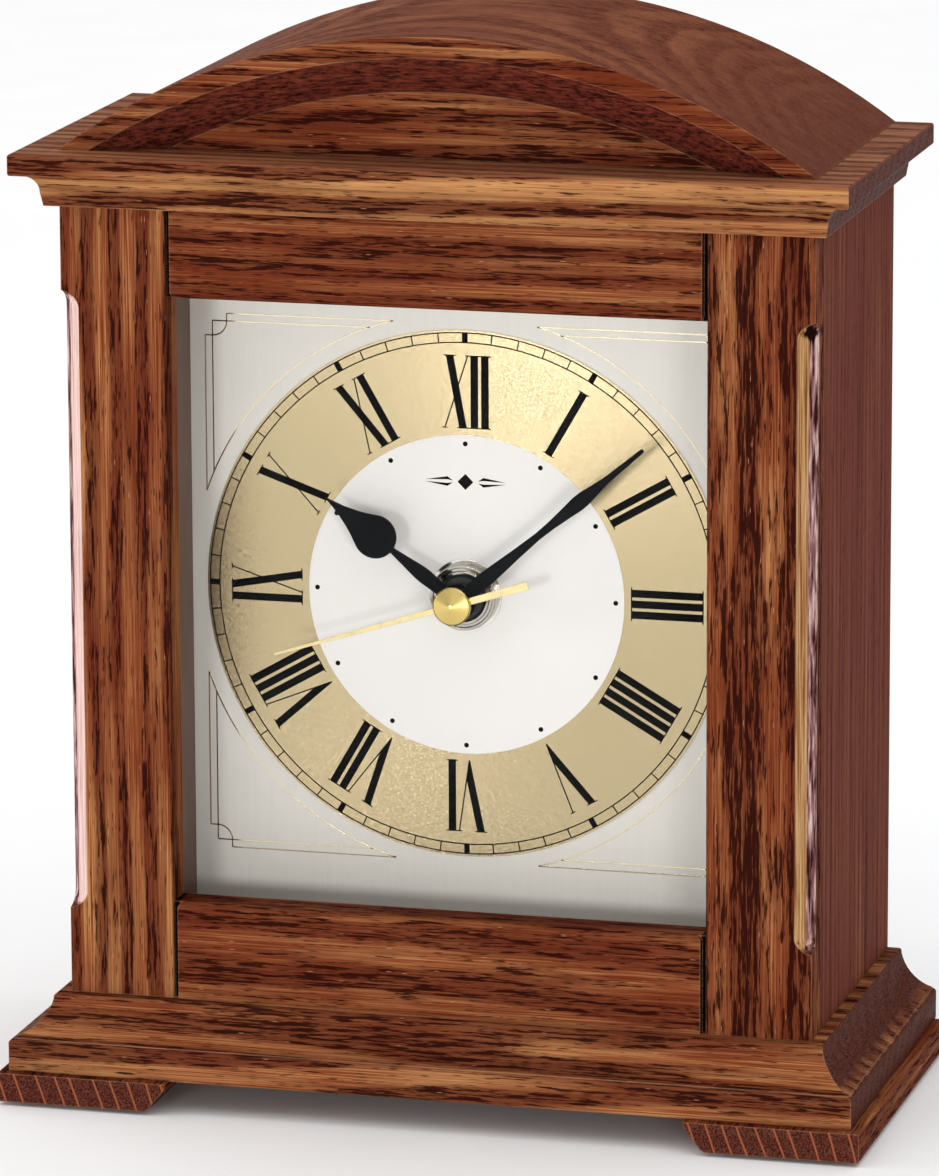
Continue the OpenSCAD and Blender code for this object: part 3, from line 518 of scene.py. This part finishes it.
def flat_piece(name, outlines, face, thick, finish):
    """Closed thin shapes standing proud of a face, from outlines of (x, z) in millimetres
    round the dial's middle."""
    shape = bmesh.new()
    front = face - thick / mm_per_m
    for outline in outlines:
        points = [(px / mm_per_m, dial_z + pz / mm_per_m) for px, pz in outline]
        back_ring = [shape.verts.new((px, face, pz)) for px, pz in points]
        front_ring = [shape.verts.new((px, front, pz)) for px, pz in points]
        shape.faces.new(back_ring)
        shape.faces.new(front_ring[::-1])
        for i in range(len(outline)):
            shape.faces.new((back_ring[i - 1], front_ring[i - 1], front_ring[i], back_ring[i]))
    bmesh.ops.recalc_face_normals(shape, faces=shape.faces)
    mesh = bpy.data.meshes.new(name)
    shape.to_mesh(mesh)
    shape.free()
    mesh.materials.append(finish.material)
    piece = bpy.data.objects.new(name, mesh)
    bpy.context.scene.collection.objects.link(piece)
    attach(piece, "clock")


def on_dial(radius, degrees, aside=0.0):
    """The point at a radius and a clockwise angle from twelve, moved clockwise by a distance."""
    a = math.radians(degrees)
    return (radius * math.sin(a) + aside * math.cos(a), radius * math.cos(a) - aside * math.sin(a))


def arc_band(r_in, r_out, start, end, steps):
    turns = [start + (end - start) * i / steps for i in range(steps + 1)]
    return [on_dial(r_out, t) for t in turns] + [on_dial(r_in, t) for t in turns[::-1]]


def spoke(r_in, r_out, degrees, width):
    half = width / 2
    corners = ((r_in, -half), (r_out, -half), (r_out, half), (r_in, half))
    return [on_dial(radius, degrees, aside) for radius, aside in corners]


track_in, track_out = 47.1, 48.9
track_line = 0.23
five_minute_bar = 1.05
track = []
for start in (0, 90, 180, 270):
    for r in (track_in, track_out):
        inner, outer = r - track_line / 2, r + track_line / 2
        track.append(arc_band(inner, outer, start, start + 90, steps=48))
for minute in range(60):
    wide = track_line if minute % 5 else five_minute_bar
    track.append(spoke(track_in, track_out, minute * 6, wide))
flat_piece("minute_track", track, print_face, ink_thick, ink)

foot_r, head_r = 31.15, 44.75
bar, hair = 1.42, 0.24
serif, serif_out = 0.2, 0.42
close_step, wide_step = 2.0, 3.4
spread = 2.1
thin_out, thick_in = 0.1, 0.85
numerals = ["XII", "I", "II", "III", "IIII", "V", "VI", "VII", "VIII", "IX", "X", "XI"]


def stroke(foot, head, width):
    """A slanted stroke as (aside, radius) points, from its place at the foot to the head."""
    half = width / 2
    return [(foot - half, foot_r), (head - half, head_r),
            (head + half, head_r), (foot + half, foot_r)]


def cap(at, radius, width):
    """The serif across one end of a stroke."""
    half = width / 2 + serif_out
    inner = radius + (serif if radius == foot_r else -serif)
    return [(at - half, radius), (at - half, inner), (at + half, inner), (at + half, radius)]


def letter(kind, at):
    """The strokes and serifs of an I, X or V that stands at a place aside of the hour."""
    if kind == "I":
        return [stroke(at, at, bar), cap(at, foot_r, bar), cap(at, head_r, bar)]
    if kind == "X":
        thin = spread + thin_out
        thick = spread - thick_in
        return [stroke(at + thick, at - thick, bar), stroke(at - thin, at + thin, hair),
                cap(at + thick, foot_r, bar), cap(at - thick, head_r, bar),
                cap(at - thin, foot_r, hair), cap(at + thin, head_r, hair)]
    tall = head_r - foot_r
    outer = spread + bar / 2
    meet = (bar - outer - spread) / (-outer - spread)
    crotch = (at + spread * (1 - meet), foot_r + tall * (1 - meet))
    downstroke = [(at - outer, head_r), (at - outer + bar, head_r), crotch, (at, foot_r)]
    upstroke = [(at, foot_r), (at + spread - hair / 2, head_r), (at + spread + hair / 2, head_r),
                (at + hair, foot_r)]
    return [downstroke, upstroke, cap(at - spread, head_r, bar), cap(at + spread, head_r, hair)]


for hour, word in enumerate(numerals):
    places = [0.0]
    for before, after in zip(word, word[1:]):
        places.append(places[-1] + (close_step if before + after == "II" else wide_step))
    sides = [places[0] - (bar / 2 if word[0] == "I" else spread + bar / 2),
             places[-1] + (bar / 2 if word[-1] == "I" else spread)]
    middle = sum(sides) / 2
    outlines = []
    for kind, at in zip(word, places):
        for shape in letter(kind, at - middle):
            outlines.append([on_dial(radius, hour * 30, aside) for aside, radius in shape])
    flat_piece(f"numeral_{hour or 12}", outlines, print_face, ink_thick, ink)

dots_at, dot_r = 28.3, 0.46
half_turn_steps = 10
dots = []
for hour in range(12):
    cx, cz = on_dial(dots_at, hour * 30)
    angles = [i * math.pi / half_turn_steps for i in range(2 * half_turn_steps)]
    dots.append([(cx + dot_r * math.cos(a), cz + dot_r * math.sin(a)) for a in angles])
flat_piece("hour_dots", dots, print_face, ink_thick, ink)

mark_z = 21.2
lozenge = 1.5
leaf_root, leaf_widest, leaf_tip = 2.4, 3.4, 7.6
leaf_rise, leaf_half, leaf_gather = 0.62, 0.28, 0.3
mark = [[(-lozenge, mark_z), (0.0, mark_z + lozenge), (lozenge, mark_z), (0.0, mark_z - lozenge)]]
for side in (-1, 1):
    for rise in (-leaf_rise, leaf_rise):
        mark.append([(side * leaf_root, mark_z + rise * leaf_gather),
                     (side * leaf_widest, mark_z + rise + leaf_half),
                     (side * leaf_tip, mark_z + rise * leaf_gather),
                     (side * leaf_widest, mark_z + rise - leaf_half)])
flat_piece("dial_ornament", mark, print_face, ink_thick, ink)


# Corner lines: fine double lines with a quarter-round notch, hot-stamped in
# gold foil on the four corners of the plate, up to a sweep round the ring.

foil = metal("gold_foil", (0.74, 0.64, 0.42), rough=0.12, contrast=0.05, depth=0.002)
foil_wide, foil_thick = 0.25, 0.02
notch_x, notch_z, notch_r = 48.0, 49.1, 2.75
outer_x, outer_z = 49.4, 50.5
sweep_r = 52.3


def ruled(start, end):
    (ax, az), (bx, bz) = start, end
    length = math.hypot(bx - ax, bz - az)
    nx = (az - bz) / length * foil_wide / 2
    nz = (bx - ax) / length * foil_wide / 2
    return [(ax + nx, az + nz), (bx + nx, bz + nz), (bx - nx, bz - nz), (ax - nx, az - nz)]


def sweep_end(aside):
    """How far along a line the sweep cuts it, for a line this far from the dial's middle."""
    return math.sqrt(sweep_r ** 2 - aside ** 2)


one_corner = [
    ruled((outer_x, sweep_end(outer_x)), (outer_x, notch_z - notch_r)),
    ruled((outer_x, notch_z - notch_r), (notch_x, notch_z - notch_r)),
    ruled((notch_x, sweep_end(notch_x)), (notch_x, notch_z)),
    ruled((notch_x, notch_z), (sweep_end(notch_z), notch_z)),
    ruled((notch_x - notch_r, notch_z), (notch_x - notch_r, outer_z)),
    ruled((notch_x - notch_r, outer_z), (sweep_end(outer_z), outer_z)),
]
quarter_turn_steps = 12
angles = [i * math.pi / (2 * quarter_turn_steps) for i in range(quarter_turn_steps + 1)]
notch_arc = []
for r, turns_taken in ((notch_r + foil_wide / 2, angles), (notch_r - foil_wide / 2, angles[::-1])):
    notch_arc += [(notch_x - r * math.cos(a), notch_z - r * math.sin(a)) for a in turns_taken]
one_corner.append(notch_arc)
first = math.degrees(math.atan2(sweep_end(outer_z), outer_z))
last = math.degrees(math.atan2(outer_x, sweep_end(outer_x)))
inner, outer = sweep_r - foil_wide / 2, sweep_r + foil_wide / 2
one_corner.append(arc_band(inner, outer, first, last, steps=40))
all_corners = []
for flip_x in (-1, 1):
    for flip_z in (-1, 1):
        all_corners += [[(px * flip_x, pz * flip_z) for px, pz in shape] for shape in one_corner]
flat_piece("corner_lines", all_corners, plate_face, foil_thick, foil)


# Fixing of the movement: a chromed nut turned down over a thin chromed washer
# on the threaded bushing, and a rubber gasket behind the plate.

dress(metal("nut_chrome", (0.45, 0.42, 0.38), rough=0.12, grain=(0.8, 0.8, 0.8), contrast=0.05,
            depth=0.002), "dial_nut")
dress(metal("washer_chrome", (0.72, 0.69, 0.64), rough=0.14, grain=(0.8, 0.8, 0.8), contrast=0.05,
            depth=0.002), "dial_washer")


def moulded(name, colour, rough=0.45, grain=4.0, depth=0.02, contrast=0.15, gloss=0.4):
    """Plastic, rubber or paint with a faint grain, as fine as so many to the millimetre."""
    finish = Finish(name, {"Specular IOR Level": gloss})
    x, y, z = finish.place()
    skin = finish.clouds(finish.vector(x * grain, y * grain, z * grain), 4.0, 0.65)
    darker = tuple(c * (1 - contrast) for c in colour)
    finish.feed("Base Color", finish.ramp(skin, (0.3, darker), (0.7, colour)))
    finish.feed("Roughness", skin * 0.2 + (rough - 0.1))
    finish.bump(skin, depth, eased=0.15)
    return finish


dress(moulded("gasket_rubber", (0.02, 0.02, 0.02), rough=0.7), "gasket")


# Hands: stamped from aluminium and pressed on their pipes. The hour and the
# minute hand are painted satin black; the second hand and its turned cap are
# plated in pale gold.

dress(moulded("hand_black", (0.004, 0.004, 0.005), rough=0.3, grain=3.0, depth=0.008, gloss=0.03),
      "hour_hand", "minute_hand")
dress(metal("hand_gold", (0.62, 0.52, 0.27), rough=0.3, grain=(0.6, 0.6, 0.6), contrast=0.05,
            depth=0.002), "second_hand")
dress(metal("cap_gold", (0.74, 0.56, 0.19), rough=0.26, grain=(6.0, 0.3, 6.0), contrast=0.03,
            depth=0.0005), "second_cap")


# Movement: a black moulded case and cover that clip together round the train.
# The bearing plate, wheels, knob and bobbin are moulded in white plastic, and
# the pipe that carries the minute hand is turned from brass.

case_plastic = moulded("movement_black", (0.022, 0.022, 0.024), rough=0.5, grain=5.0, depth=0.03)
dress(case_plastic, "movement_case", "movement_cover")
wheel_plastic = moulded("wheel_plastic", (0.82, 0.8, 0.74), rough=0.4, grain=2.0, depth=0.01,
                        contrast=0.05)
dress(wheel_plastic, "bearing_plate", "hour_wheel", "centre_wheel", "intermediate_wheel",
      "second_wheel", "third_wheel", "fifth_wheel", "setting_knob", "coil_bobbin")
dress(metal("pipe_brass", (0.8, 0.6, 0.28), rough=0.28), "minute_pipe")


# Motor: a magnet rotor that steps between the poles of a soft-iron stator,
# which a coil of copper wire, wound on the bobbin round an iron core, drives.

dress(metal("magnet", (0.3, 0.3, 0.32), rough=0.4), "rotor")
dress(metal("soft_iron", (0.5, 0.5, 0.5), rough=0.4, grain=(6.0, 6.0, 0.6)), "stator", "coil_core")
copper = Finish("copper_wire", {"Metallic": 1.0})
x, y, z = copper.place()
turns = (x * 40).math("SINE")
# Painted shade in the grooves between the turns of wire, and painted highlight on their crests
shadow, crest_highlight = (0.3, 0.1, 0.04), (0.8, 0.35, 0.15)
copper.feed("Base Color", copper.ramp(turns * 0.5 + 0.5, (0.0, shadow), (1.0, crest_highlight)))
copper.feed("Roughness", turns * 0.05 + 0.3)
copper.bump(turns, 0.04)
dress(copper, "coil_winding")


# Circuit: a green board pinned in the case, with the quartz crystal soldered
# on in its metal can and the driver under a drop of black resin.

dress(moulded("board_green", (0.03, 0.14, 0.045), rough=0.3, grain=3.0, depth=0.01),
      "circuit_board")
dress(metal("crystal_can", (0.72, 0.72, 0.72), rough=0.22), "quartz_crystal")
dress(moulded("chip_black", (0.01, 0.01, 0.01), rough=0.25, grain=2.0, depth=0.03), "driver_chip")


# Battery: one AA cell in a printed sleeve with a copper-coloured band at its
# positive end, held between two contacts bent from nickel-plated strip.

dress(metal("contact_nickel", (0.66, 0.64, 0.6), rough=0.25),
      "contact_positive", "contact_negative")
cell_low, cell_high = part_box("battery")
band_from = 0.7
sleeve_middle, sleeve_half = 0.49, 0.478
sleeve = Finish("battery_sleeve", {})
x, y, z = sleeve.place()
along = (x - cell_low.x * mm_per_m) / ((cell_high.x - cell_low.x) * mm_per_m)
scuffs = sleeve.clouds(sleeve.vector(x / 2, y / 2, z / 2), 4.0, 0.6)
blue = sleeve.ramp(scuffs, (0.3, (0.025, 0.05, 0.1)), (0.7, (0.035, 0.07, 0.14)))
band = along > band_from
bare = abs(along - sleeve_middle) > sleeve_half
printed = sleeve.mix(band, blue, (0.6, 0.36, 0.12))
sleeve.feed("Base Color", sleeve.mix(bare, printed, (0.7, 0.7, 0.68)))
sleeve.feed("Metallic", band.math("MAXIMUM", bare))
sleeve.feed("Roughness", scuffs * 0.15 + 0.25)
sleeve.bump(scuffs, 0.01)
dress(sleeve, "battery")


# Studio: a pale paper floor, a broad light overhead and three small ones, in
# front to the left, far to the left and in front to the right. The camera
# stands in front to the right and looks down a little.

bpy.ops.mesh.primitive_plane_add(size=14.0, location=(0.0, 0.0, 0.0))
floor = bpy.context.object
floor.name = "floor"
paper = Finish("paper", {"Roughness": 0.9, "Specular IOR Level": 0.1})
x, y, z = paper.place()
pulp = paper.clouds(paper.vector(x / 40, y / 40, z), 2.0)
paper.feed("Base Color", paper.ramp(pulp, (0.3, (0.95, 0.95, 0.95)), (0.7, (0.97, 0.97, 0.97))))
floor.data.materials.append(paper.material)

clock_middle = Vector((0.0, 0.0, 0.1))


def softbox(name, at, width, height, power):
    """A rectangle of light aimed at the middle of the clock."""
    data = bpy.data.lights.new(name, "AREA")
    data.shape = "RECTANGLE"
    data.size = width
    data.size_y = height
    data.energy = power
    lamp = bpy.data.objects.new(name, data)
    lamp.location = at
    lamp.rotation_euler = (clock_middle - Vector(at)).to_track_quat("-Z", "Y").to_euler()
    bpy.context.scene.collection.objects.link(lamp)


softbox("ceiling", at=(0.0, 0.0, 3.2), width=7.0, height=7.0, power=125.0)
softbox("front_left", at=(-0.22, -1.4, 0.17), width=0.24, height=0.2, power=4.0)
softbox("left", at=(-1.5, -0.5, 0.25), width=0.5, height=0.4, power=6.0)
softbox("front_right", at=(0.7, -1.3, 0.14), width=0.3, height=0.22, power=4.5)

world = bpy.data.worlds.new("studio")
world.use_nodes = True
room_light = world.node_tree.nodes["Background"]
room_light.inputs["Color"].default_value = (1.0, 1.0, 1.0, 1.0)
room_light.inputs["Strength"].default_value = 0.55
bpy.context.scene.world = world
bpy.context.scene.view_settings.view_transform = "Standard"

camera_at = Vector((0.35095, -1.31147, 0.39663))
yaw, pitch, roll = 0.26215, 0.21952, -0.0042
flat_reach = math.cos(pitch)
forward = Vector((-math.sin(yaw) * flat_reach, math.cos(yaw) * flat_reach, -math.sin(pitch)))
level = Vector((math.cos(yaw), math.sin(yaw), 0.0))
upright = level.cross(forward)
right = level * math.cos(roll) + upright * math.sin(roll)
up = right.cross(forward)
lens = bpy.data.cameras.new("camera")
lens.sensor_width = 36.0
lens.lens = 231.3
lens.clip_end = 50.0
camera = bpy.data.objects.new("camera", lens)
turned = Matrix((right, up, -forward)).transposed().to_4x4()
camera.matrix_world = Matrix.Translation(camera_at) @ turned
bpy.context.scene.collection.objects.link(camera)
bpy.context.scene.camera = camera
